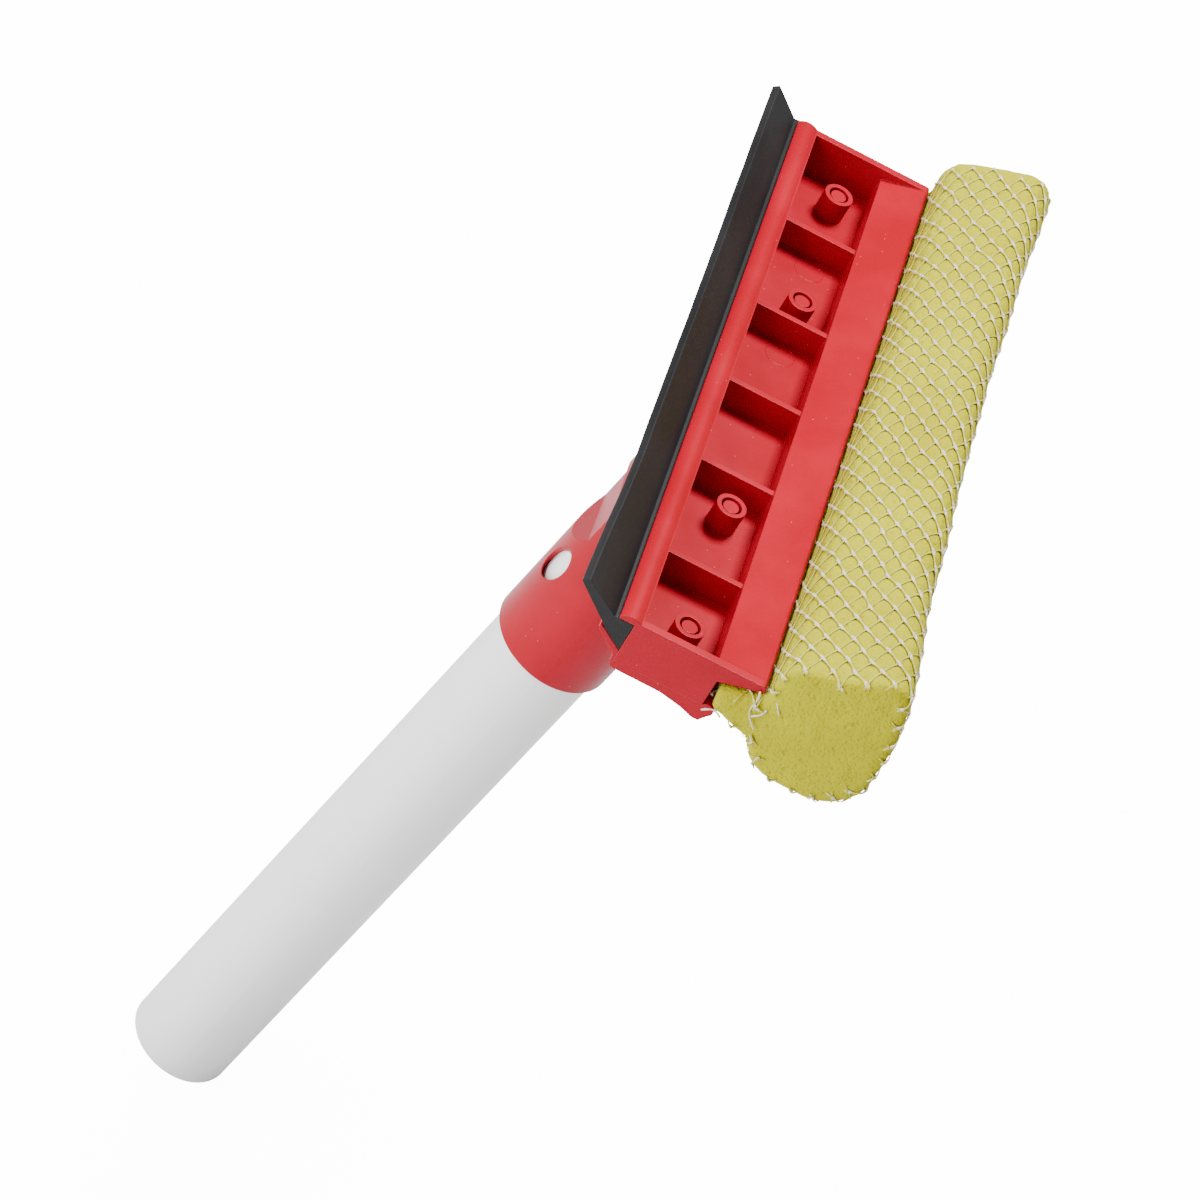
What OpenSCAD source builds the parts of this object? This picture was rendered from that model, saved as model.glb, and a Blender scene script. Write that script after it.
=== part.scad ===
// Two-sided window squeegee: a rubber blade on one side of the head and a netted
// sponge on the other, on a plain tube handle.
//
// Z runs up the handle with the head on top, X along the head, Y from the blade to
// the sponge. The origin is the centre of the handle's free end.
// The head's sections are drawn in the head's own plane, as (y, z): y is counted from
// the rail's outer edge, z from the rim, and the whole head leans by head_tilt.

/* [Head] */
// Length of the head from end wall to end wall
head_l = 150; // [130:5:200]
// Width of the front from the rail to the flange's edge
head_w = 28.5; // [28:0.25:29]
// Depth of the pockets below the rim
pocket_depth = 9; // [8.5:0.25:9.5]
// Lean of the head's front against the handle, in degrees
head_tilt = 8.6; // [6:0.2:10]
// Thickness of the moulded walls and the floor
wall_t = 1.2; // [1:0.1:1.4]
// Thickness of the two end walls
end_t = 1.6; // [1.2:0.1:2.4]

/* [Ribs and bosses] */
// Thickness of a cross rib
rib_t = 1.2; // [1:0.1:1.6]
// Height of a cross rib above the pocket floor
rib_h = 6; // [4:0.5:7]
// Outer diameter of a boss
boss_d = 5.8; // [5.4:0.1:6.4]
// Bore of a boss
boss_bore_d = 4; // [3.6:0.1:4.4]
// Height of a boss above the pocket floor
boss_h = 5.2; // [4.5:0.1:6]

/* [Blade] */
// Thickness of the wiping edge
blade_edge_t = 1.6; // [1.2:0.1:2]
// How far the wiping edge stands out from the rail
blade_reach = 7.6; // [7:0.2:10]

/* [Sponge] */
// Length of the sponge along the head
sponge_l = 153; // [140:1:154]
// How far the sponge stands out past the flange
sponge_out = 24; // [22:0.5:28]
// Thickness of the netting's skin
net_t = 0.4; // [0.3:0.1:0.4]

/* [Neck] */
// Outer diameter of the neck
neck_d = 24.8; // [24.6:0.1:27]
// Distance from the rim back to the socket's mouth
neck_reach = 81; // [76:1:90]
// Depth of the socket
socket_depth = 26.5; // [24:0.5:28]
// Diameter of the slanting sight hole in the socket's wall
sight_hole_d = 6; // [5:0.2:6.6]

/* [Handle] */
// Outer diameter of the tube
tube_d = 22.2; // [21:0.1:22.6]
// Wall of the tube
tube_t = 1.2; // [0.8:0.1:2]
// Length of the tube below the socket's mouth
grip_l = 146; // [100:1:400]
// Length of the plug in the tube's free end
plug_l = 12; // [8:1:20]

/* [Hidden] */
$fn = 96;

red = [0.84, 0.09, 0.11];
black = [0.1, 0.1, 0.11];
foam_yellow = [0.86, 0.78, 0.15];
net_cream = [0.93, 0.9, 0.75];
tube_white = [0.93, 0.93, 0.92];
plug_grey = [0.75, 0.75, 0.75];

play = 0.1;                                // between the blade's root and its slot
fit_gap = 0.05;                            // radial, tube in socket and pin in boss

// section of the head, in its own plane
slot_y = 3;                                // front shell's wall beside the blade
jaw_y = 20.4;                              // front shell's wall beside the sponge
floor_z = -pocket_depth;
seam_z = floor_z - wall_t;                 // where the two shells meet
back_z = seam_z - 1.6;                     // outside of the back plate
rail_w = 4.1;
rail_under = -0.75;
rail_crown_r = 3;
flange_drop = 2.2;                         // from the rim to the flange's inner edge
flange_r = 0.7;
lip_tip = [-1.75, -4.6];
lip_r = 0.45;
bead_r = 1.35;
bead_c = [jaw_y + 1.15, seam_z - 0.65];

// positions along the head
rib_pitch = [-0.335, -0.158, 0, 0.158, 0.335] * head_l;
boss_pitch = [-0.433, -0.207, 0.207, 0.433] * head_l;
boss_y = 12.8;
pin_d = boss_bore_d - 2 * fit_gap;
pin_tip_d = pin_d - 0.8;
pin_top = floor_z + boss_h - 0.3;

// neck and handle
axis_y = 14.8;                             // the handle's axis meets the rim here
rim_z = grip_l + neck_reach;
socket_d = tube_d + 2 * fit_gap;
socket_top = grip_l + socket_depth;
sight_hole_z = socket_top - 5.5;
sight_hole_at = -66;                       // round the neck, degrees from +X
core_d = socket_d - 5.3;                   // narrower core above the socket
core_top = rim_z - 36;
neck_top = rim_z - 32;                     // the neck widens to the plate from here
flat_low = socket_top - 0.5;
flat_y = core_d / 2 + 1.7;

// Puts the head's own plane on the handle
module in_head() {
    translate([0, 0, rim_z]) rotate([head_tilt, 0, 0]) translate([0, -axis_y, 0]) children();
}

// Extrudes a (y, z) section along X, centred on the handle
module along_head(length) {
    rotate([90, 0, 90]) linear_extrude(length, center = true) children();
}

module dot(c, r) {
    translate(c) circle(r = r, $fn = 48);
}

// Unit normal of the tangent that runs outside two circles, on the right of a to b
function outward(a, ra, b, rb) =
    let (d = b - a, turn = atan2(d.y, d.x) - acos((ra - rb) / norm(d))) [cos(turn), sin(turn)];

// ---- front shell ----

module rail_section() {
    intersection() {
        translate([0, rail_under]) square([rail_w, 2]);
        translate([rail_w / 2, 0.7 - rail_crown_r]) circle(r = rail_crown_r);
    }
}

module flange_section() {
    edge = head_w - flange_r;
    polygon([[jaw_y - wall_t, -flange_drop], [edge, 0], [edge, -2 * flange_r],
             [jaw_y, -flange_drop - 1.5], [jaw_y, -5], [jaw_y - wall_t, -5]]);
    dot([edge, -flange_r], flange_r);
}

module channel_section() {
    translate([slot_y, seam_z]) square([wall_t, -seam_z]);
    translate([slot_y, seam_z]) square([jaw_y - slot_y, wall_t]);
    translate([jaw_y - wall_t, seam_z]) square([wall_t, -seam_z - flange_drop]);
}

module end_section() {
    polygon([[slot_y, 0], [head_w - 1, 0], [head_w - 1, -1.3], [jaw_y, -flange_drop - 1.5],
             [jaw_y, seam_z], [slot_y, seam_z]]);
}

module front_shell() {
    color(red) in_head() difference() {
        union() {
            along_head(head_l) {
                rail_section();
                flange_section();
                channel_section();
            }
            for (side = [-1, 1])
                translate([side * (head_l - end_t) / 2, 0, 0]) along_head(end_t) end_section();
            for (x = rib_pitch)
                translate([x - rib_t / 2, slot_y + wall_t / 2, floor_z - wall_t / 2])
                    cube([rib_t, jaw_y - slot_y - wall_t, rib_h + wall_t / 2]);
            for (x = boss_pitch)
                translate([x, boss_y, floor_z - wall_t / 2])
                    cylinder(d = boss_d, h = boss_h + wall_t / 2);
        }
        for (x = boss_pitch)
            translate([x, boss_y, seam_z - 1]) cylinder(d = boss_bore_d, h = 12);
    }
}

// ---- back shell ----

// Plate with the bead that grips the sponge
module plate_section() {
    polygon([[slot_y, seam_z], [jaw_y, seam_z], bead_c + [bead_r, 0],
             [22.1, back_z - 0.5], [21.2, back_z - 2], [20, back_z - 2],
             [17.3, back_z - 1], [13, back_z - 0.1], [3.6, back_z], [2.7, back_z + 0.5]]);
    intersection() {
        dot(bead_c, bead_r);
        translate([jaw_y, seam_z - 3]) square([4, 4]);
    }
}

// Lip that grips the root of the blade
module lip_section() {
    polygon([[slot_y, -7.6], [slot_y, seam_z], [2.7, back_z + 0.5], [2.35, -8.9],
             lip_tip + [-0.27, -0.36], lip_tip + [0.27, 0.36]]);
    dot(lip_tip, lip_r);
}

module pin() {
    base = seam_z - 0.5;
    straight = 3;
    cylinder(d = pin_d, h = straight);
    translate([0, 0, straight]) cylinder(d1 = pin_d, d2 = pin_tip_d, h = 0.5, $fn = 48);
    translate([0, 0, straight + 0.5]) cylinder(d = pin_tip_d, h = pin_top - base - straight - 0.5);
}

// Round neck that spreads out to the width of the plate
module neck_solid() {
    translate([0, 0, grip_l + 0.7]) cylinder(d = neck_d, h = neck_top - grip_l - 0.7);
    rotate_extrude() translate([(neck_d + socket_d) / 4, grip_l + 0.7])
        circle(r = (neck_d - socket_d) / 4 , $fn = 32);
    hull() {
        translate([0, 0, neck_top - 1]) cylinder(d = neck_d, h = 1, $fn = 48);
        in_head() for (x = [-16, 16], y = [7.2, 17])
            translate([x, y, back_z]) cylinder(r = 3, h = 0.5, $fn = 32);
    }
}

// Flat for the thumb on the blade's side of the neck, with a ramp at each end
module thumb_flat() {
    outer = neck_d / 2 + 0.1;
    rotate([90, 0, 90]) linear_extrude(neck_d + 2, center = true)
        polygon([[-outer, flat_low], [-flat_y, flat_low + 5.5], [-flat_y, flat_low + 14.5],
                 [-outer, flat_low + 20], [-outer - 5, flat_low + 20], [-outer - 5, flat_low]]);
}

// Hole that slants down through the socket's wall, to see how far the tube is in
module sight_hole() {
    translate([0, 0, sight_hole_z]) rotate([0, 0, sight_hole_at]) translate([neck_d / 2, 0, 0])
        rotate([0, 0, 26]) rotate([0, 40, 0])
            cylinder(d = sight_hole_d, h = 15, center = true, $fn = 64);
}

module back_shell() {
    color(red) {
        difference() {
            neck_solid();
            translate([0, 0, grip_l - 1]) cylinder(d = socket_d, h = socket_depth + 1);
            translate([0, 0, grip_l]) cylinder(d = core_d, h = core_top - grip_l);
            sight_hole();
            thumb_flat();
        }
        in_head() {
            along_head(head_l) {
                plate_section();
                lip_section();
            }
            for (x = boss_pitch) translate([x, boss_y, seam_z - 0.5]) pin();
        }
    }
}

// ---- blade ----

module blade_section() {
    tip_back = [-blade_reach - 0.5, 3.3];
    lean = [0.78, 0.62] * blade_edge_t;    // across the wiping edge
    polygon([[-0.7, -1], [0.2, rail_under - play], [slot_y - play, rail_under - play],
             [slot_y - play, -7.38], [-1.35, -4.12], [-1.6, -3.8], tip_back, tip_back + lean]);
}

module rubber_blade() {
    color(black) in_head() along_head(head_l) blade_section();
}

// ---- sponge and netting ----

// Body of the sponge, larger all round by grow: circles at the corners, counterclockwise,
// joined by their outer tangents
module sponge_outline(grow = 0) {
    right = head_w + sponge_out;
    corner = [[head_w + 9.5, -9.6], [right - 8.9, -8.7], [right - 7.3, 8.2], [head_w + 6.6, 3]];
    r = [8, 9, 5, 6.3] + [1, 1, 1, 1] * grow;
    polygon([for (i = [0:3]) let (j = (i + 1) % 4, n = outward(corner[i], r[i], corner[j], r[j]))
        each [corner[i] + r[i] * n, corner[j] + r[j] * n]]);
    for (i = [0:3]) dot(corner[i], r[i]);
}

// Neck of the sponge, held in the jaw between flange and bead
module sponge_neck() {
    polygon([[jaw_y + 0.6, -4.1], [head_w, -2], [head_w + 4.5, 0], [head_w + 7.5, -12],
             [head_w + 1.8, -11.4], [25.5, -10.4], [23.4, -9.2], [jaw_y + 0.6, -9.2]]);
}

module sponge() {
    color(foam_yellow) in_head() {
        along_head(sponge_l) sponge_outline();
        along_head(sponge_l) sponge_neck();
    }
}

module netting() {
    color(net_cream) in_head() along_head(head_l) difference() {
        sponge_outline(net_t);
        sponge_outline(0.02);
        translate([head_w - 2, -13]) square([6, 11.3]);
    }
}

// ---- handle ----

module handle_tube() {
    color(tube_white) difference() {
        cylinder(d = tube_d, h = socket_top - 0.2);
        translate([0, 0, -1]) cylinder(d = tube_d - 2 * tube_t, h = socket_top + 2);
    }
}

module handle_end_plug() {
    plug_d = tube_d - 2 * tube_t - 2 * fit_gap;
    color(plug_grey) difference() {
        cylinder(d = plug_d, h = plug_l);
        translate([0, 0, 1.5]) cylinder(d = plug_d - 2.4, h = plug_l);
    }
}

front_shell();
back_shell();
rubber_blade();
sponge();
netting();
handle_tube();
handle_end_plug();
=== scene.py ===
import math
import random

import bmesh
import bpy
import numpy as np
from mathutils import Matrix, Vector, noise
from mathutils.kdtree import KDTree


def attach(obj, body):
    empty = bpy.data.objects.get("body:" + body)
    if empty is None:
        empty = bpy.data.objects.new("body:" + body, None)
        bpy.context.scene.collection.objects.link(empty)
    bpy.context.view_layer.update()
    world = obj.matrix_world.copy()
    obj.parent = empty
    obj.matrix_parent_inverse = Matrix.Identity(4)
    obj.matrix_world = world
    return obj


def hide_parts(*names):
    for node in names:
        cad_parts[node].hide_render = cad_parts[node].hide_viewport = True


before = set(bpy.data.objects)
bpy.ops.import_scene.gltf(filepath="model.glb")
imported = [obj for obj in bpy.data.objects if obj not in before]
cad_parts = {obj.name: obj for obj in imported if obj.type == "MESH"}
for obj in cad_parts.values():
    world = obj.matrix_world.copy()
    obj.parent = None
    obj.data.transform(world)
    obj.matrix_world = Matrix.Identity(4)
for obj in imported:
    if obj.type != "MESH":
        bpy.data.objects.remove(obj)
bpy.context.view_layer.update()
print("frame loaded:", sorted(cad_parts))

mm = 0.001
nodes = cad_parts

# the head's own plane, as the model has it: y from the rail's edge, z from the rim
head = {"tilt": 8.6, "rimHeight": 227.0, "axisAt": 14.8, "floor": -9.0}


def headPoint(x, y, z):
    t = math.radians(head["tilt"])
    dy = y - head["axisAt"]
    return Vector((x, dy * math.cos(t) - z * math.sin(t),
                   head["rimHeight"] + dy * math.sin(t) + z * math.cos(t))) * mm


def headPoints(p):  # the same for an array of points
    t = math.radians(head["tilt"])
    dy = p[:, 1] - head["axisAt"]
    return np.stack([p[:, 0], dy * math.cos(t) - p[:, 2] * math.sin(t),
                     head["rimHeight"] + dy * math.sin(t) + p[:, 2] * math.cos(t)], 1) * mm


def newObject(name, verts, faces, material, body, smoothAngle=None):
    mesh = bpy.data.meshes.new(name)
    mesh.from_pydata([tuple(v) for v in verts], [], faces)
    mesh.materials.append(material)
    mesh.shade_smooth()
    if smoothAngle:
        mesh.set_sharp_from_angle(angle=math.radians(smoothAngle))
    obj = bpy.data.objects.new(name, mesh)
    bpy.context.scene.collection.objects.link(obj)
    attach(obj, body)
    return obj


# shared shader groups


def newGroup(name, inputs, outputs):
    group = bpy.data.node_groups.new(name, "ShaderNodeTree")
    for label, kind, value in inputs:
        socket = group.interface.new_socket(label, in_out="INPUT", socket_type=kind)
        socket.default_value = value
    for label, kind in outputs:
        group.interface.new_socket(label, in_out="OUTPUT", socket_type=kind)
    return group, group.nodes.new("NodeGroupInput"), group.nodes.new("NodeGroupOutput")


def addNode(tree, kind, links=(), **values):
    node = tree.nodes.new(kind)
    for key, value in values.items():
        if key.startswith("in_"):
            node.inputs[key[3:].replace("_", " ")].default_value = value
        else:
            setattr(node, key, value)
    for socket, source in links:
        tree.links.new(source, node.inputs[socket])
    return node


def makeGrainGroup():  # fine even texture of a moulded or extruded skin
    g, start, end = newGroup("surfaceGrain", [
        ("Fine Scale", "NodeSocketFloat", 2500.0), ("Broad Scale", "NodeSocketFloat", 60.0),
        ("Stretch", "NodeSocketVector", (1.0, 1.0, 1.0))],
        [("Fine", "NodeSocketFloat"), ("Broad", "NodeSocketFloat")])
    coord = addNode(g, "ShaderNodeTexCoord")
    stretch = addNode(g, "ShaderNodeVectorMath", operation="MULTIPLY",
                      links=[(0, coord.outputs["Object"]), (1, start.outputs["Stretch"])])
    fine = addNode(g, "ShaderNodeTexNoise", in_Detail=3.0, in_Roughness=0.6,
                   links=[("Vector", stretch.outputs[0]), ("Scale", start.outputs["Fine Scale"])])
    broad = addNode(g, "ShaderNodeTexNoise", in_Detail=4.0, in_Roughness=0.55,
                    links=[("Vector", stretch.outputs[0]), ("Scale", start.outputs["Broad Scale"])])
    g.links.new(fine.outputs["Fac"], end.inputs["Fine"])
    g.links.new(broad.outputs["Fac"], end.inputs["Broad"])
    return g


def makeEdgeGroup():  # rounded edges and a mask of where they are
    g, start, end = newGroup("softEdge", [("Radius", "NodeSocketFloat", 0.0003)],
                             [("Mask", "NodeSocketFloat"), ("Normal", "NodeSocketVector")])
    bevel = addNode(g, "ShaderNodeBevel", [("Radius", start.outputs["Radius"])], samples=6)
    flat = addNode(g, "ShaderNodeNewGeometry")
    dot = addNode(g, "ShaderNodeVectorMath", [(0, bevel.outputs[0]), (1, flat.outputs["Normal"])],
                  operation="DOT_PRODUCT")
    mask = addNode(g, "ShaderNodeMapRange", [("Value", dot.outputs["Value"])],
                   in_From_Min=0.995, in_From_Max=0.8, in_To_Min=0.0, in_To_Max=1.0)
    g.links.new(mask.outputs[0], end.inputs["Mask"])
    g.links.new(bevel.outputs[0], end.inputs["Normal"])
    return g


def makeDustGroup():  # specks and faint smudges
    g, start, end = newGroup("speckDust",
                             [("Scale", "NodeSocketFloat", 700.0), ("Amount", "NodeSocketFloat", 0.1)],
                             [("Specks", "NodeSocketFloat"), ("Smudge", "NodeSocketFloat")])
    coord = addNode(g, "ShaderNodeTexCoord")
    cells = addNode(g, "ShaderNodeTexVoronoi", in_Randomness=1.0,
                    links=[("Vector", coord.outputs["Object"]), ("Scale", start.outputs["Scale"])])
    limit = addNode(g, "ShaderNodeMath", [(0, start.outputs["Amount"])], operation="MULTIPLY")
    limit.inputs[1].default_value = 0.9
    specks = addNode(g, "ShaderNodeMath", [(0, cells.outputs["Distance"]), (1, limit.outputs[0])],
                     operation="LESS_THAN")
    patch = addNode(g, "ShaderNodeTexNoise", [("Vector", coord.outputs["Object"])],
                    in_Scale=38.0, in_Detail=5.0, in_Roughness=0.65)
    smudge = addNode(g, "ShaderNodeMapRange", [("Value", patch.outputs["Fac"])],
                     in_From_Min=0.48, in_From_Max=0.72)
    g.links.new(specks.outputs[0], end.inputs["Specks"])
    g.links.new(smudge.outputs[0], end.inputs["Smudge"])
    return g


grainGroup, edgeGroup, dustGroup = makeGrainGroup(), makeEdgeGroup(), makeDustGroup()


def newMaterial(name):
    material = bpy.data.materials.new(name)
    material.use_nodes = True
    return material, material.node_tree, material.node_tree.nodes["Principled BSDF"]


def useGroup(tree, group, **values):
    node = tree.nodes.new("ShaderNodeGroup")
    node.node_tree = group
    for key, value in values.items():
        node.inputs[key.replace("_", " ")].default_value = value
    return node


def mixColours(tree, factor, a, b):  # a and b are colours or sockets
    mix = tree.nodes.new("ShaderNodeMix")
    mix.data_type = "RGBA"
    for index, value in ((0, factor), (6, a), (7, b)):
        if hasattr(value, "is_output"):
            tree.links.new(value, mix.inputs[index])
        else:
            mix.inputs[index].default_value = value if index == 0 else (*value, 1)
    return mix.outputs[2]


def remap(tree, source, low, high, outLow, outHigh):
    node = addNode(tree, "ShaderNodeMapRange", [("Value", source)], in_From_Min=low, in_From_Max=high,
                   in_To_Min=outLow, in_To_Max=outHigh)
    return node.outputs[0]


def addBump(tree, height, distance, strength=1.0, normal=None):
    bump = addNode(tree, "ShaderNodeBump", [("Height", height)], in_Strength=strength, in_Distance=distance)
    if normal is not None:
        tree.links.new(normal, bump.inputs["Normal"])
    return bump.outputs[0]


# moulded red plastic

# edge: a paler red painted along rounded edges as a highlight
redPlastic = {"colour": (0.38, 0.0, 0.014), "deep": (0.32, 0.0, 0.009), "edge": (0.60, 0.02, 0.05),
              "speck": (0.95, 0.45, 0.42), "roughLow": 0.30, "roughHigh": 0.42, "gloss": 0.14,
              "edgeRadius": 0.32 * mm}


def makeRedPlastic():
    s = redPlastic
    material, tree, shader = newMaterial("mouldedRedPlastic")
    grain = useGroup(tree, grainGroup, Fine_Scale=1900.0, Broad_Scale=55.0)
    edge = useGroup(tree, edgeGroup, Radius=s["edgeRadius"])
    dust = useGroup(tree, dustGroup, Scale=420.0, Amount=0.045)
    broad = remap(tree, grain.outputs["Broad"], 0.35, 0.7, 0.0, 1.0)
    colour = mixColours(tree, broad, s["deep"], s["colour"])
    # painted highlight: edges turn paler red where the rounded-edge mask is set
    colour = mixColours(tree, remap(tree, edge.outputs["Mask"], 0, 1, 0, 0.55), colour, s["edge"])
    colour = mixColours(tree, remap(tree, dust.outputs["Specks"], 0, 1, 0, 0.35), colour, s["speck"])
    tree.links.new(colour, shader.inputs["Base Color"])
    rough = remap(tree, grain.outputs["Broad"], 0.3, 0.75, s["roughLow"], s["roughHigh"])
    tree.links.new(rough, shader.inputs["Roughness"])
    tree.links.new(addBump(tree, grain.outputs["Fine"], 0.012 * mm, 0.5, edge.outputs["Normal"]),
                   shader.inputs["Normal"])
    shader.inputs["Specular IOR Level"].default_value = s["gloss"]
    return material


mouldedRed = makeRedPlastic()
for name in ("front_shell", "back_shell"):
    nodes[name].data.materials.clear()
    nodes[name].data.materials.append(mouldedRed)
print("red shells finished")

# white tube and its plug

tube = {"colour": (0.90, 0.90, 0.895), "shade": (0.85, 0.85, 0.85), "roughLow": 0.30, "roughHigh": 0.46}
plug = {"colour": (0.46, 0.46, 0.46), "shade": (0.38, 0.38, 0.38), "roughLow": 0.42, "roughHigh": 0.6}


def makeTubeSkin(name, s, stretch):
    material, tree, shader = newMaterial(name)
    grain = useGroup(tree, grainGroup, Fine_Scale=1600.0, Broad_Scale=90.0, Stretch=stretch)
    edge = useGroup(tree, edgeGroup, Radius=0.3 * mm)
    dust = useGroup(tree, dustGroup, Scale=520.0, Amount=0.05)
    colour = mixColours(tree, remap(tree, grain.outputs["Broad"], 0.3, 0.7, 0, 1), s["shade"], s["colour"])
    colour = mixColours(tree, remap(tree, dust.outputs["Specks"], 0, 1, 0, 0.3), colour, (0.45, 0.44, 0.42))
    colour = mixColours(tree, remap(tree, dust.outputs["Smudge"], 0, 1, 0, 0.10), colour, (0.55, 0.54, 0.52))
    tree.links.new(colour, shader.inputs["Base Color"])
    rough = remap(tree, dust.outputs["Smudge"], 0, 1, s["roughLow"], s["roughHigh"])
    tree.links.new(rough, shader.inputs["Roughness"])
    tree.links.new(addBump(tree, grain.outputs["Fine"], 0.02 * mm, 0.5, edge.outputs["Normal"]),
                   shader.inputs["Normal"])
    return material


tubeSkin = makeTubeSkin("satinWhiteTube", tube, (1.0, 1.0, 0.04))
plugSkin = makeTubeSkin("greyPlug", plug, (1.0, 1.0, 1.0))
nodes["handle_tube"].data.materials.clear()
nodes["handle_tube"].data.materials.append(tubeSkin)
nodes["handle_end_plug"].data.materials.clear()
nodes["handle_end_plug"].data.materials.append(plugSkin)
print("tube and plug finished")

# marks that the ejector pins leave on the pocket floors

marks = {"radius": 2.9, "height": 0.11, "wide": 0.42, "y": 13.0, "at": (-46.5, -20.0, 20.0, 46.5)}


def makeEjectorMarks():
    s = marks
    verts, faces = [], []
    steps = 48
    profile = [(-1.0, -0.3), (-0.55, 0.75), (0.0, 1.0), (0.55, 0.75), (1.0, -0.3)]
    for x in s["at"]:
        base = len(verts)
        for i in range(steps):
            a = 2 * math.pi * i / steps
            for across, up in profile:
                r = s["radius"] + across * s["wide"] / 2
                verts.append(headPoint(x + r * math.cos(a), s["y"] + r * math.sin(a),
                                       head["floor"] + up * s["height"]))
        n = len(profile)
        for i in range(steps):
            j = (i + 1) % steps
            for k in range(n - 1):
                faces.append([base + i * n + k, base + j * n + k, base + j * n + k + 1, base + i * n + k + 1])
    return newObject("ejector_marks", verts, faces, mouldedRed, "head")


makeEjectorMarks()

# rubber blade

blade = {"from": -76.2, "halfLength": 75.0, "stations": 151, "seed": 11, "corner": 0.22,
         "wave": 0.30, "waveRate": 0.022, "ripple": 0.12, "rippleRate": 0.09, "lean": (0.62, 0.78),
         "curl": 1.25, "curlFrom": 35.0,
         "section": [(-0.7, -1.0), (0.2, -0.85), (2.9, -0.85), (2.9, -7.38), (-1.35, -4.12), (-1.6, -3.8)],
         "tipBack": (-7.7, 3.3), "tipFront": (-6.5, 4.3)}

# edge: a paler grey painted along rounded edges as a highlight
rubber = {"dark": (0.005, 0.005, 0.0055), "light": (0.011, 0.011, 0.012), "edge": (0.045, 0.045, 0.046),
          "speck": (0.09, 0.09, 0.09), "smudge": (0.15, 0.15, 0.15), "gloss": 0.22}


def makeRubber():
    s = rubber
    material, tree, shader = newMaterial("blackRubber")
    grain = useGroup(tree, grainGroup, Fine_Scale=2200.0, Broad_Scale=70.0, Stretch=(0.35, 1.0, 1.0))
    edge = useGroup(tree, edgeGroup, Radius=0.18 * mm)
    dust = useGroup(tree, dustGroup, Scale=800.0, Amount=0.09)
    colour = mixColours(tree, remap(tree, grain.outputs["Broad"], 0.3, 0.7, 0, 1), s["dark"], s["light"])
    # painted highlight: edges turn paler grey where the rounded-edge mask is set
    colour = mixColours(tree, remap(tree, edge.outputs["Mask"], 0, 1, 0, 0.25), colour, s["edge"])
    colour = mixColours(tree, remap(tree, dust.outputs["Specks"], 0, 1, 0, 0.3), colour, s["speck"])
    colour = mixColours(tree, remap(tree, dust.outputs["Smudge"], 0, 1, 0, 0.04), colour, s["smudge"])
    tree.links.new(colour, shader.inputs["Base Color"])
    tree.links.new(remap(tree, grain.outputs["Broad"], 0.3, 0.7, 0.42, 0.58), shader.inputs["Roughness"])
    tree.links.new(addBump(tree, grain.outputs["Fine"], 0.03 * mm, 0.6, edge.outputs["Normal"]),
                   shader.inputs["Normal"])
    shader.inputs["Specular IOR Level"].default_value = s["gloss"]
    return material


def roundedSection(points, radius, steps=3):
    out = []
    n = len(points)
    for i, p in enumerate(points):
        a, b = Vector(points[i - 1]) - Vector(p), Vector(points[(i + 1) % n]) - Vector(p)
        r = min(radius, a.length * 0.4, b.length * 0.4)
        a, b = Vector(p) + a.normalized() * r, Vector(p) + b.normalized() * r
        for k in range(steps + 1):
            t = k / steps
            out.append(tuple(a * (1 - t) ** 2 + Vector(p) * 2 * t * (1 - t) + b * t * t))
    return out


def makeBlade():
    s = blade
    outline = roundedSection(s["section"] + [s["tipBack"], s["tipFront"]], s["corner"])
    tip = Vector(s["tipFront"])
    root = Vector(s["section"][0])
    long = (tip - root).length
    verts, faces = [], []
    n = len(outline)
    for i in range(s["stations"]):
        x = s["from"] + (s["halfLength"] - s["from"]) * i / (s["stations"] - 1)
        lift = s["wave"] * noise.noise(Vector((x * s["waveRate"], 3.7, s["seed"])))
        lift += s["ripple"] * noise.noise(Vector((x * s["rippleRate"], 9.1, s["seed"])))
        c = min(1.0, max(0.0, (x - s["curlFrom"]) / (s["halfLength"] - s["curlFrom"])))
        curl = s["curl"] * c * c * (3 - 2 * c)           # the edge turns outwards at one end
        for y, z in outline:
            w = min(1.0, max(0.0, (Vector((y, z)) - root).dot(tip - root) / long ** 2))
            w = w * w * (3 - 2 * w)
            verts.append(headPoint(x, y + w * (s["lean"][0] * lift - curl), z + w * s["lean"][1] * lift))
    for i in range(s["stations"] - 1):
        for k in range(n):
            a, b = i * n + k, i * n + (k + 1) % n
            faces.append([a, b, b + n, a + n])
    faces.append(list(range(n - 1, -1, -1)))
    faces.append([(s["stations"] - 1) * n + k for k in range(n)])
    obj = newObject("wiping_blade", verts, faces, makeRubber(), "blade", 35)
    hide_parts("rubber_blade")


makeBlade()
print("blade finished")

# sponge: outline of its section, and where a point on it lies

sponge = {"corners": [(38.0, -9.6, 8.0), (43.6, -8.7, 9.0), (45.2, 8.2, 5.0), (35.1, 3.0, 6.3)],
          "neckTop": [(21.3, -4.25), (24.0, -3.35), (27.0, -2.55), (29.2, -1.6)],
          "neckBottom": [(29.6, -11.6), (27.6, -10.9), (25.4, -10.2), (23.3, -9.1), (21.3, -9.0)],
          "halfLength": 76.4, "endRound": 1.0, "endSteps": 6, "stations": 70, "rise": 2.4,
          "voxel": 0.75, "quickVoxel": 1.3, "lump": 0.35, "fineLump": 0.22,
          "bulge": 0.9, "bulgeMiddle": (41, -3), "bulgeReach": (13, 17),
          "wide": [(-78, -0.8), (-60, -1.5), (0, -2.0), (18, -1.3),
                   (36, -0.7), (50, -0.2), (65, 0.6), (77, 1.1)]}

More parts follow.
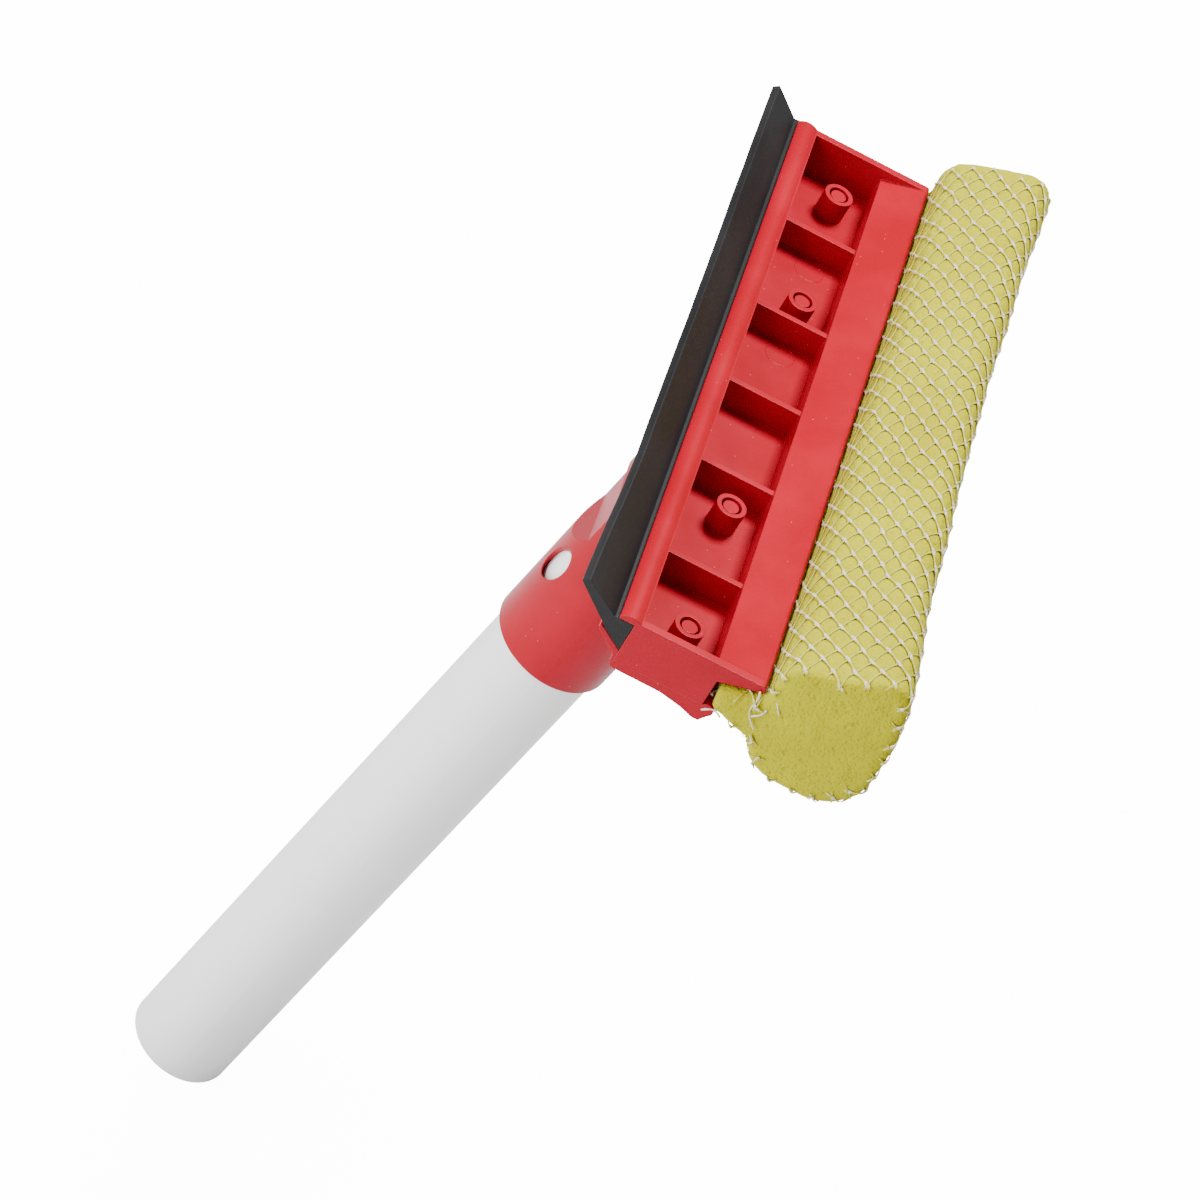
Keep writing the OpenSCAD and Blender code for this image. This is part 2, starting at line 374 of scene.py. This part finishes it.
net = {"from": -75.9, "to": 78.2, "strong": (2.65, 2.12), "weak": (3.20, -1.93), "offset": 0.4,
       "steps": 60, "margin": 6, "thin": 0.12, "thick": 0.32, "knot": 0.75, "over": 0.10, "endGap": 0.25,
       "jitter": 0.20, "dent": 0.14, "puff": 0.20, "seed": 23}


def arcBetween(c, r, a, b, step=0.5):
    b = a + (b - a) % (2 * math.pi)
    count = max(2, int(r * (b - a) / step))
    return [(c[0] + r * math.cos(a + (b - a) * i / count), c[1] + r * math.sin(a + (b - a) * i / count))
            for i in range(count + 1)]


def outwardTurn(a, ra, b, rb):
    dx, dy = b[0] - a[0], b[1] - a[1]
    return math.atan2(dy, dx) - math.acos((ra - rb) / math.hypot(dx, dy))


def spongeOutline():
    c = sponge["corners"]
    turns = [outwardTurn(c[i], c[i][2], c[(i + 1) % 4], c[(i + 1) % 4][2]) for i in range(4)]
    # from the jaw under the flange round the front, the outer side and the back, to the jaw again
    top, low = c[3], c[0]
    points = list(sponge["neckTop"])
    points += arcBetween(top, top[2], turns[2], math.radians(176))[::-1]
    points += arcBetween(c[2], c[2][2], turns[1], turns[2])[::-1]
    points += arcBetween(c[1], c[1][2], turns[0], turns[1])[::-1]
    points += arcBetween(low, low[2], math.radians(189), turns[0])[::-1]
    points += list(sponge["neckBottom"])
    return np.array(points)


def resample(points, step):
    d = np.r_[0, np.cumsum(np.linalg.norm(np.diff(points, axis=0), axis=1))]
    n = int(d[-1] / step) + 1
    s = np.linspace(0, d[-1], n)
    return np.stack([np.interp(s, d, points[:, k]) for k in (0, 1)], 1), s


outline, arc = resample(spongeOutline(), 0.25)
for _ in range(12):  # round the meeting of neck and body
    outline[1:-1] = (outline[:-2] + 2 * outline[1:-1] + outline[2:]) / 4
outline, arc = resample(outline, 0.5)
tangent = np.gradient(outline, axis=0)
tangent /= np.linalg.norm(tangent, axis=1)[:, None]
normals = np.stack([-tangent[:, 1], tangent[:, 0]], 1)
centre = np.array([41.0, -3.5])
if ((outline - centre) * normals).sum() < 0:
    normals = -normals
netFrom = float(np.interp(26.4, outline[:20, 0], arc[:20]))
netTo = arc[-1] - float(np.interp(24.6, outline[::-1][:20, 0], arc[:20]))
print("sponge outline", round(float(arc[-1]), 1), "mm round;",
      "net from", round(netFrom, 1), "to", round(netTo, 1))


def bodyShape(x, y, z):  # how the section changes along the sponge: a waist, and an end that opens out
    x, y, z = np.broadcast_arrays(x, y, z)
    away = np.clip((y - 28.0) / 22.0, 0, 1.2)
    wide = np.interp(x, [p[0] for p in sponge["wide"]], [p[1] for p in sponge["wide"]])
    wide = np.where(wide > 0, wide * np.clip((z + 7) / 8, 0, 1), wide)
    end = np.clip((x - 42) / 35, 0, 1)
    rise = sponge["rise"] * end * end * np.clip((z - 2) / 10, 0, 1) * np.clip((y - 40) / 8, 0, 1)
    lump = sponge["lump"] * np.sin(x * 0.085 + 1.2) * np.sin(y * 0.16 + z * 0.11)
    lump = lump + sponge["fineLump"] * np.sin(x * 0.19 + z * 0.23)
    return y + away * (wide + lump * 0.6), z + rise + away * lump * 0.5


def onSponge(x, s, over):  # the point at x along the sponge and s round its outline, over its skin
    y = np.interp(s, arc, outline[:, 0])
    z = np.interp(s, arc, outline[:, 1])
    ny = np.interp(s, arc, normals[:, 0])
    nz = np.interp(s, arc, normals[:, 1])
    y2, z2 = bodyShape(x, y, z)
    return np.stack([x, y2 + ny * over, z2 + nz * over], 1)


def wrapEnd(p, over):  # the same, but what runs past the end of the sponge bends down onto its end face
    start = sponge["halfLength"] - sponge["endRound"]
    past = np.clip(p[:, 0] - start, 0, None)
    turn = np.clip(past / sponge["endRound"], 0, math.pi / 2)
    x = np.minimum(p[:, 0], start) + sponge["endRound"] * np.sin(turn)
    x = x + (over + net["endGap"]) * np.sin(turn)
    down = sponge["endRound"] * (1 - np.cos(turn))
    down = down + np.clip(past - sponge["endRound"] * math.pi / 2, 0, None)
    path = onSponge(np.minimum(x, sponge["halfLength"]), p[:, 1], over * np.cos(turn) - down)
    path[:, 0] = x
    return path


# where the net's strands and knots lie, in (along, round)

strong, weak = np.array(net["strong"]), np.array(net["weak"])
netMiddle = (netFrom + netTo) / 2


def knotAt(i, j):  # i steps along the strong strands, j along the weak ones
    p = i * strong + j * weak + np.array([net["offset"], netMiddle])
    rng = random.Random(net["seed"] * 100003 + i * 613 + j)
    p = p + net["jitter"] * np.array([rng.gauss(0, 1), rng.gauss(0, 1)])
    drift = 0.8 * math.sin(p[0] * 0.045 + 1.0) + 0.35 * math.sin(p[0] * 0.16 + p[1] * 0.09)
    return p + np.array([0.5 * math.sin(p[1] * 0.11), drift])


def inNet(p):
    return net["from"] <= p[0] <= net["to"] and netFrom - 2 <= p[1] <= netTo + 2


def nearNet(p):  # knots just outside are kept too, for the strands that cross the net's edge
    spare = net["margin"]
    return net["from"] - spare < p[0] < net["to"] + spare and netFrom - spare < p[1] < netTo + spare


knots = {}
for i in range(-net["steps"], net["steps"] + 1):
    for j in range(-net["steps"], net["steps"] + 1):
        p = knotAt(i, j)
        if nearNet(p):
            knots[(i, j)] = p
print("net:", len(knots), "knots")


def strandRun(a, b, bow):  # points from one knot to the next
    steps = 5
    d = b - a
    side = np.array([-d[1], d[0]]) / max(np.linalg.norm(d), 1e-6)
    return [a + d * k / steps + side * bow * math.sin(math.pi * k / steps) for k in range(steps + 1)]


def makeRuns():
    runs = []
    rng = random.Random(net["seed"])
    for (i, j), a in sorted(knots.items()):
        for di, dj, kind in ((1, 0, "strong"), (0, 1, "weak")):
            b = knots.get((i + di, j + dj))
            if b is None:
                continue
            inA, inB = inNet(a), inNet(b)
            if not (inA or inB):
                continue
            bow = (0.16 if kind == "strong" else -0.12) + rng.uniform(-0.12, 0.12)
            points = strandRun(a, b, bow)
            along = net["from"] <= min(a[0], b[0]) and max(a[0], b[0]) <= net["to"]
            if not (inA and inB) and not along:
                keep = rng.choice([1, 1, 2])               # drawn first, so both ends use the same draws
                if a[0] < 0:                               # only the other end shows cut strands
                    continue
                points = points[:keep + 1] if inA else points[-keep - 1:]
                if not inA:
                    points = points[::-1]
                runs.append((points, kind, True))
            else:
                runs.append((points, kind, False))
    return runs


runs = makeRuns()

# foam

# pore and hole: darker yellow painted as shade inside the pores and holes
foamSkin = {"dark": (0.38, 0.345, 0.0), "light": (0.45, 0.43, 0.0), "pore": (0.31, 0.26, 0.0),
            "hole": (0.27, 0.21, 0.0), "poreScale": 1500.0, "holeScale": 520.0}


def makeFoamMaterial():
    s = foamSkin
    material, tree, shader = newMaterial("yellowFoam")
    coord = addNode(tree, "ShaderNodeTexCoord")
    cells = addNode(tree, "ShaderNodeTexVoronoi",
                    [("Vector", coord.outputs["Object"])], in_Scale=s["poreScale"])
    big = addNode(tree, "ShaderNodeTexVoronoi",
                  [("Vector", coord.outputs["Object"])], in_Scale=s["holeScale"])
    grain = useGroup(tree, grainGroup, Fine_Scale=3200.0, Broad_Scale=70.0)
    pore = remap(tree, cells.outputs["Distance"], 0.0, 0.55, 1.0, 0.0)
    hole = remap(tree, big.outputs["Distance"], 0.0, 0.34, 1.0, 0.0)
    broad = remap(tree, grain.outputs["Broad"], 0.3, 0.7, 0.0, 1.0)
    colour = mixColours(tree, broad, s["dark"], s["light"])
    # painted shade: pores and holes darken where the bump also sinks them
    colour = mixColours(tree, remap(tree, pore, 0, 1, 0.0, 0.35), colour, s["pore"])
    colour = mixColours(tree, remap(tree, hole, 0.2, 1, 0.0, 0.35), colour, s["hole"])
    tree.links.new(colour, shader.inputs["Base Color"])
    tree.links.new(remap(tree, grain.outputs["Fine"], 0.3, 0.7, 0.78, 0.95), shader.inputs["Roughness"])
    first = addBump(tree, remap(tree, pore, 0, 1, 1, 0), 0.16 * mm, 0.8)
    coarse = remap(tree, hole, 0, 1, 1, 0)
    tree.links.new(addBump(tree, coarse, 0.3 * mm, 0.6, first), shader.inputs["Normal"])
    shader.inputs["Specular IOR Level"].default_value = 0.08
    shader.inputs["Sheen Weight"].default_value = 0.04
    shader.inputs["Sheen Roughness"].default_value = 0.6
    return material


def netField(x, s):  # 0 under a strand, 1 in the middle of a cell
    pts = [p for points, _, _ in runs for p in points]
    tree = KDTree(len(pts))
    for k, p in enumerate(pts):
        tree.insert((p[0], p[1], 0), k)
    tree.balance()
    d = np.array([tree.find((a, b, 0))[2] for a, b in zip(x, s)])
    t = np.clip(d / 1.35, 0, 1)
    return t * t * (3 - 2 * t)


def makeFoam():
    s = sponge
    ring = outline[::2]
    n = len(ring)
    inward = -normals[::2]
    stations = []
    for k in range(s["endSteps"]):
        a = math.pi / 2 * (1 - k / (s["endSteps"] - 1))
        stations.append((-s["halfLength"] + s["endRound"] * (1 - math.sin(a)),
                         s["endRound"] * (1 - math.cos(a))))
    inner = s["halfLength"] - s["endRound"] - 1
    stations += [(x, 0.0) for x in np.linspace(-inner, inner, s["stations"])]
    stations += [(-x, inset) for x, inset in stations[:s["endSteps"]][::-1]]
    verts, faces = [], []
    for x, inset in stations:
        p = ring + inward * inset * 0.9
        y, z = bodyShape(np.full(n, x), p[:, 0], p[:, 1])
        verts += [(x, a, b) for a, b in zip(y, z)]
    for i in range(len(stations) - 1):
        for k in range(n):
            a, b = i * n + k, i * n + (k + 1) % n
            faces.append([a, a + n, b + n, b])
    faces.append(list(range(n)))
    faces.append([(len(stations) - 1) * n + k for k in range(n - 1, -1, -1)])
    mesh = bpy.data.meshes.new("foamBase")
    mesh.from_pydata(verts, [], faces)
    mesh.transform(Matrix.Scale(mm, 4))
    base = bpy.data.objects.new("foamBase", mesh)
    bpy.context.scene.collection.objects.link(base)
    fine = base.modifiers.new("even", "REMESH")
    fine.mode = "VOXEL"
    fine.voxel_size = s["voxel"] * mm
    smooth = base.modifiers.new("ease", "SMOOTH")
    smooth.factor = 0.5
    smooth.iterations = 3
    done = bpy.data.meshes.new_from_object(base.evaluated_get(bpy.context.evaluated_depsgraph_get()))
    bpy.data.objects.remove(base)
    co = np.zeros(len(done.vertices) * 3, np.float32)
    done.vertices.foreach_get("co", co)
    co = co.reshape(-1, 3).astype(float) / mm
    nrm = np.zeros(len(done.vertices) * 3, np.float32)
    done.vertices.foreach_get("normal", nrm)
    nrm = nrm.reshape(-1, 3).astype(float)
    # place round the outline: nearest outline point of the same section
    oy, oz = outline[:, 0], outline[:, 1]
    where = np.zeros(len(co))
    for start in range(0, len(co), 4000):
        part = co[start:start + 4000]
        y2, z2 = bodyShape(part[:, 0][:, None], oy[None, :], oz[None, :])
        d = (y2 - part[:, 1][:, None]) ** 2 + (z2 - part[:, 2][:, None]) ** 2
        where[start:start + 4000] = arc[d.argmin(1)]
    field = netField(co[:, 0], where)
    side = np.clip((np.abs(nrm[:, 0]) - 0.35) / 0.4, 0, 1)            # 1 on the two cut ends
    under = np.clip((s["halfLength"] + 0.3 - np.abs(co[:, 0])) / 1.2, 0, 1) * (1 - side)
    under *= np.clip((where - netFrom - 1) / 2, 0, 1) * np.clip((netTo - 1 - where) / 2, 0, 1)
    rough = np.array([noise.noise(Vector(p) * 0.5) * 0.10 + noise.noise(Vector(p) * 1.1) * 0.09 for p in co])
    bulge = s["bulge"] * side                                         # the cut ends swell in their middle
    for axis, middle, reach in zip((1, 2), s["bulgeMiddle"], s["bulgeReach"]):
        bulge = bulge * np.clip(1 - ((co[:, axis] - middle) / reach) ** 2, 0, 1)
    shift = under * (net["puff"] * field - net["dent"] * (1 - field)) + rough * (1 - 0.5 * under) + bulge
    shift *= np.clip((co[:, 1] - 27.5) / 2.5, 0, 1)                      # the neck stays as the jaw holds it
    co = co + nrm * shift[:, None]
    done.vertices.foreach_set("co", headPoints(co).astype(np.float32).ravel())
    done.update()
    done.materials.clear()
    done.materials.append(makeFoamMaterial())
    done.shade_smooth()
    done.name = "sponge_foam"
    obj = bpy.data.objects.new("sponge_foam", done)
    bpy.context.scene.collection.objects.link(obj)
    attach(obj, "head")
    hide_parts("sponge")
    print("foam finished:", len(done.vertices), "points")


makeFoam()

# net


def makeNetMaterial(name, dull, bright, grooveShade):
    material, tree, shader = newMaterial(name)
    coord = addNode(tree, "ShaderNodeTexCoord")
    twist = addNode(tree, "ShaderNodeTexWave", [("Vector", coord.outputs["Object"])], wave_type="BANDS",
                    bands_direction="DIAGONAL", in_Scale=900.0, in_Distortion=2.0, in_Detail=2.0)
    grain = useGroup(tree, grainGroup, Fine_Scale=4000.0, Broad_Scale=120.0)
    colour = mixColours(tree, remap(tree, grain.outputs["Broad"], 0.3, 0.7, 0, 1), dull, bright)
    # painted shade: the yarn darkens in the twist grooves, where the bump is lowest
    colour = mixColours(tree, remap(tree, twist.outputs["Fac"], 0, 1, 0.3, 0.0), colour, grooveShade)
    tree.links.new(colour, shader.inputs["Base Color"])
    tree.links.new(remap(tree, grain.outputs["Fine"], 0.3, 0.7, 0.4, 0.6), shader.inputs["Roughness"])
    tree.links.new(addBump(tree, twist.outputs["Fac"], 0.05 * mm, 0.7), shader.inputs["Normal"])
    shader.inputs["Sheen Weight"].default_value = 0.1
    shader.inputs["Specular IOR Level"].default_value = 0.25
    return material


netYarn = makeNetMaterial("creamNetYarn", (0.52, 0.48, 0.11), (0.60, 0.57, 0.18), (0.44, 0.39, 0.06))
knotYarn = makeNetMaterial("paleNetKnot", (0.70, 0.60, 0.42), (0.80, 0.72, 0.58), (0.58, 0.48, 0.30))
fineYarn = makeNetMaterial("fineNetYarn", (0.46, 0.43, 0.05), (0.52, 0.49, 0.09), (0.40, 0.36, 0.03))


yarnShape = (1.15, 0.85)  # half the width and half the height of a strand, times its radius
yarnSides = 6


def tubeAlong(path, radii, ups, verts, faces):  # a closed thin tube through points in the head's plane
    base = len(verts)
    n = len(path)
    sides = yarnSides
    for k in range(n):
        d = path[min(k + 1, n - 1)] - path[max(k - 1, 0)]
        d = d / max(np.linalg.norm(d), 1e-9)
        up = ups[k] - d * (ups[k] @ d)
        up /= max(np.linalg.norm(up), 1e-9)
        across = np.cross(d, up)
        for m in range(sides):
            a = 2 * math.pi * m / sides
            verts.append(path[k] + radii[k] * (yarnShape[0] * math.cos(a) * across
                                               + yarnShape[1] * math.sin(a) * up))
    for k in range(n - 1):
        for m in range(sides):
            a, b = base + k * sides + m, base + k * sides + (m + 1) % sides
            faces.append([a, b, b + sides, a + sides])
    faces.append([base + m for m in range(sides - 1, -1, -1)])
    faces.append([base + (n - 1) * sides + m for m in range(sides)])


def makeNet():
    s = net
    verts, faces, pale = [], [], []
    covered = 0.0                                          # square mm of yarn, with crossings counted twice
    rng = random.Random(s["seed"] + 1)
    for points, kind, cut in runs:
        p = np.array(points)
        n = len(p)
        t = np.linspace(0, 1, n)
        near = np.minimum(t, 1 - t) * np.linalg.norm(p[-1] - p[0])
        if cut:
            near = t * np.linalg.norm(p[-1] - p[0])
        swell = np.exp(-(near / s["knot"]) ** 2)
        thin = s["thin"] * (1.1 if kind == "strong" else 0.85)
        radii = thin + (s["thick"] - thin) * swell * (1.0 if kind == "strong" else 0.6)
        over = s["over"] + radii * 0.8 - 0.1 + (0.05 if kind == "strong" else 0.0)
        if cut:
            over = over + np.linspace(0, rng.uniform(0.0, 0.3), n)
        path, far = wrapEnd(p, over), wrapEnd(p, over + 1.0)
        tubeAlong(path, radii, far - path, verts, faces)
        lengths = np.linalg.norm(np.diff(path, axis=0), axis=1)
        covered += 2 * yarnShape[0] * float((lengths * (radii[1:] + radii[:-1]) / 2).sum())
        at = [k for k in range(n - 1) for _ in range(yarnSides)] + [0, n - 2]
        pale += [2 if kind == "weak" else int(k in (0, n - 2) and not cut) for k in at]
    verts = headPoints(np.array(verts))
    obj = newObject("sponge_net", verts, faces, netYarn, "head")
    obj.data.materials.append(knotYarn)
    obj.data.materials.append(fineYarn)
    obj.data.polygons.foreach_set("material_index", pale)
    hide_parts("netting")
    print("net finished:", len(faces), "faces")
    return obj, covered * mm * mm


netPiece, yarnArea = makeNet()

# loose threads at the end of the jaw

threads = {"radius": 0.17, "paths": [
    [(76.0, 20.6, -10.2), (76.6, 21.4, -8.9), (76.3, 22.6, -8.6), (76.7, 24.0, -9.3)],
    [(75.4, 27.6, -0.9), (76.2, 28.2, -2.3), (76.8, 27.3, -4.6), (77.1, 28.5, -6.2), (77.3, 29.9, -7.6)],
    [(76.9, 28.4, -5.6), (77.2, 29.6, -4.2), (76.8, 30.2, -2.9)],
    [(76.0, 30.5, 0.2), (76.9, 31.4, -1.0), (77.2, 32.4, -2.2)],
    [(-76.2, 28.2, -1.4), (-77.0, 29.4, -3.2), (-77.2, 30.9, -3.6)]]}


def makeThreads():
    verts, faces = [], []
    for path in threads["paths"]:
        p = np.array(path)
        t = np.linspace(0, 1, len(p))
        fine = np.linspace(0, 1, 18)
        curve = np.stack([np.interp(fine, t, p[:, k]) for k in range(3)], 1)
        for _ in range(6):
            curve[1:-1] = (curve[:-2] + 2 * curve[1:-1] + curve[2:]) / 4
        radii = np.full(len(curve), threads["radius"]) * (1 + 0.25 * np.sin(fine * 9))
        ups = np.tile([0.3, 0.2, 1.0], (len(curve), 1))
        tubeAlong(curve, radii, ups, verts, faces)
    return newObject("loose_threads", headPoints(np.array(verts)), faces, knotYarn, "head")


loose = makeThreads()

# floor, light and camera

studio = {"floorSize": 6.0, "floorCells": 24, "floorDrop": 0.0004, "floorColour": (0.93, 0.93, 0.93),
          "floorShade": (0.92, 0.92, 0.92), "glow": 14.0, "world": 0.30, "seenWorld": 16.0,
          "keyFrom": (-0.33, -0.04, 0.944), "keyPower": 30.0, "keySize": 0.36,
          "sideFrom": (0.25, -0.90, 0.42), "sidePower": 16.0, "sideSize": 0.8,
          "frontFrom": (0.90, -0.43, 0.05), "frontPower": 12.0, "frontSize": 0.8, "aim": (0.0, 0.005, 0.19)}


def makeFloor():
    bm = bmesh.new()
    bmesh.ops.create_grid(bm, x_segments=studio["floorCells"], y_segments=studio["floorCells"],
                          size=studio["floorSize"] / 2)
    for v in bm.verts:
        v.co.z = -studio["floorDrop"]
    mesh = bpy.data.meshes.new("floor")
    bm.to_mesh(mesh)
    bm.free()
    floor = bpy.data.objects.new("floor", mesh)
    bpy.context.scene.collection.objects.link(floor)
    material, tree, shader = newMaterial("paleFloor")
    grain = useGroup(tree, grainGroup, Fine_Scale=300.0, Broad_Scale=2.0)
    colour = mixColours(tree, remap(tree, grain.outputs["Broad"], 0.3, 0.7, 0, 1), studio["floorShade"],
                        studio["floorColour"])
    tree.links.new(colour, shader.inputs["Base Color"])
    tree.links.new(colour, shader.inputs["Emission Color"])
    path = addNode(tree, "ShaderNodeLightPath")
    glow = remap(tree, path.outputs["Is Camera Ray"], 0, 1, 0.1, studio["glow"])
    tree.links.new(glow, shader.inputs["Emission Strength"])
    shader.inputs["Roughness"].default_value = 0.9
    mesh.materials.append(material)


def addArea(name, fromDir, power, size, gloss, distance=1.15):
    light = bpy.data.lights.new(name, "AREA")
    light.energy = power
    light.specular_factor = gloss
    light.size = size
    obj = bpy.data.objects.new(name, light)
    bpy.context.scene.collection.objects.link(obj)
    d = Vector(fromDir).normalized()
    obj.location = Vector(studio["aim"]) + d * distance
    obj.rotation_euler = d.to_track_quat("Z", "Y").to_euler()


def makeStudio():
    makeFloor()
    world = bpy.data.worlds.new("softRoom")
    world.use_nodes = True
    world.node_tree.nodes["Background"].inputs["Color"].default_value = (1, 1, 1, 1)
    path = addNode(world.node_tree, "ShaderNodeLightPath")
    seen = remap(world.node_tree, path.outputs["Is Camera Ray"], 0, 1, studio["world"], studio["seenWorld"])
    world.node_tree.links.new(seen, world.node_tree.nodes["Background"].inputs["Strength"])
    bpy.context.scene.world = world
    addArea("key", studio["keyFrom"], studio["keyPower"], studio["keySize"], 1.0)
    addArea("side", studio["sideFrom"], studio["sidePower"], studio["sideSize"], 0.15)
    addArea("front", studio["frontFrom"], studio["frontPower"], studio["frontSize"], 0.25)


view = {"right": (-0.22899, 0.817742, 0.528073), "back": (0.744296, -0.202543, 0.636396),
        "place": (0.839541, -0.227267, 0.878754), "sensor": 36, "lens": 179.25, "near": 0.05, "far": 20}


def makeCamera():
    right = Vector(view["right"]).normalized()
    back = Vector(view["back"])
    back = (back - right * back.dot(right)).normalized()
    up = back.cross(right)
    turn = Matrix((right, up, back)).transposed().to_4x4()
    data = bpy.data.cameras.new("camera")
    data.sensor_width = view["sensor"]
    data.lens = view["lens"]
    data.clip_start, data.clip_end = view["near"], view["far"]
    camera = bpy.data.objects.new("camera", data)
    bpy.context.scene.collection.objects.link(camera)
    camera.matrix_world = Matrix.Translation(view["place"]) @ turn
    bpy.context.scene.camera = camera


makeStudio()
makeCamera()
print("studio and camera ready")
